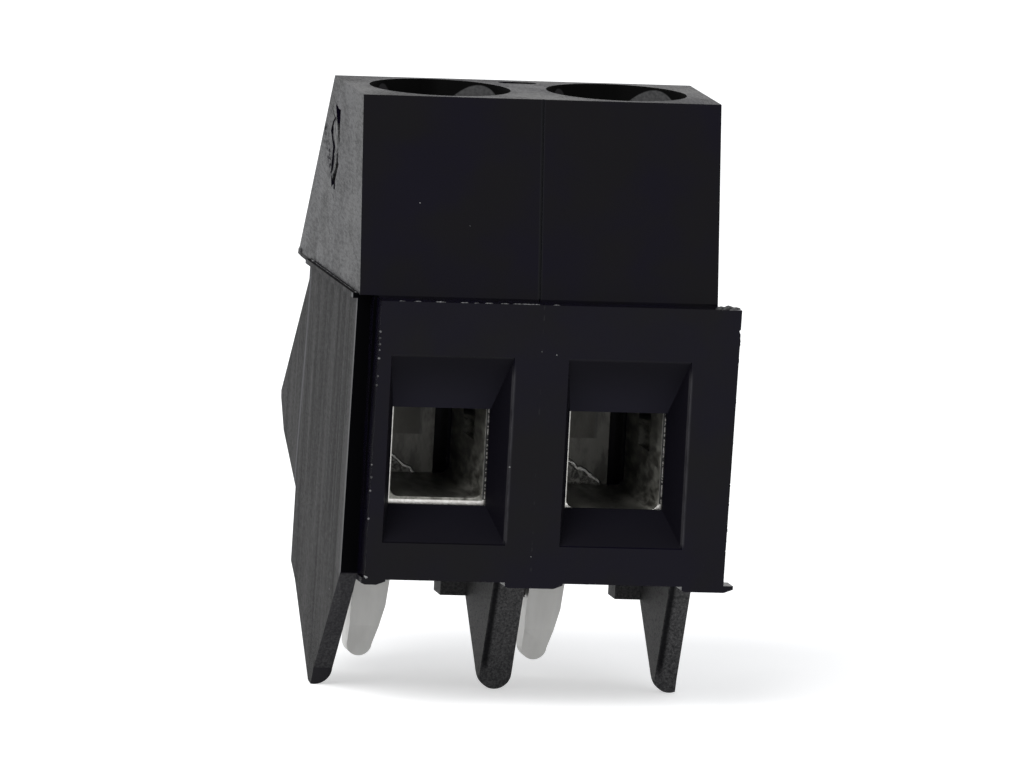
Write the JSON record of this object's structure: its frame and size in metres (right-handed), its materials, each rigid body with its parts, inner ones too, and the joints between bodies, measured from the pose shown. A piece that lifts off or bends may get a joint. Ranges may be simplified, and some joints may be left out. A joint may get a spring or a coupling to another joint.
{
  "type": "pcb screw terminal",
  "caption": "Rising-cage screw terminal for a circuit board: tall leaning tower over the screws, funnel wire entries, solder pins and V-shaped ribs below.",
  "frame": {"origin": "on the board's top face, midway between the two solder pins", "axes": "+Z off the board along the screws, -Y the side the wires enter, +X along the row of poles"},
  "size_m": [0.0111, 0.0118, 0.0173],
  "materials": {
    "black_plastic": "moulded, slightly glossy; sawn side rough",
    "tinned_copper": "dull tin plating",
    "plated_steel": "bright nickel plating",
    "screw_steel": "zinc plating"
  },
  "bodies": {
    "housing": {"housing": "black_plastic", "contact_1": "tinned_copper", "contact_2": "tinned_copper"},
    "screw_1": {"screw_1": "screw_steel"},
    "cage_1": {"cage_1": "plated_steel"},
    "screw_2": {"screw_2": "screw_steel"},
    "cage_2": {"cage_2": "plated_steel"}
  },
  "joints": [
    {"name": "screw_1_turn", "type": "hinge", "parent": "housing", "child": "screw_1", "pos_m": [-0.00194, -0.00321, 0.0102], "axis": [0, 0, -1], "range_deg": [-158.5, 1569.7]},
    {"name": "cage_1_lift", "type": "slide", "parent": "housing", "child": "cage_1", "axis": [0, 0, 1], "range_m": [-0.00022, 0.00218]},
    {"name": "screw_2_turn", "type": "hinge", "parent": "housing", "child": "screw_2", "pos_m": [0.00314, -0.00321, 0.0102], "axis": [0, 0, -1], "range_deg": [-0.1, 1728.1]},
    {"name": "cage_2_lift", "type": "slide", "parent": "housing", "child": "cage_2", "axis": [0, 0, 1], "range_m": [0, 0.0024]}
  ],
  "couplings": [
    {"joint": "screw_1_turn", "follows": "cage_1_lift", "rad_per_m": 12566},
    {"joint": "screw_2_turn", "follows": "cage_2_lift", "rad_per_m": 12566}
  ]
}
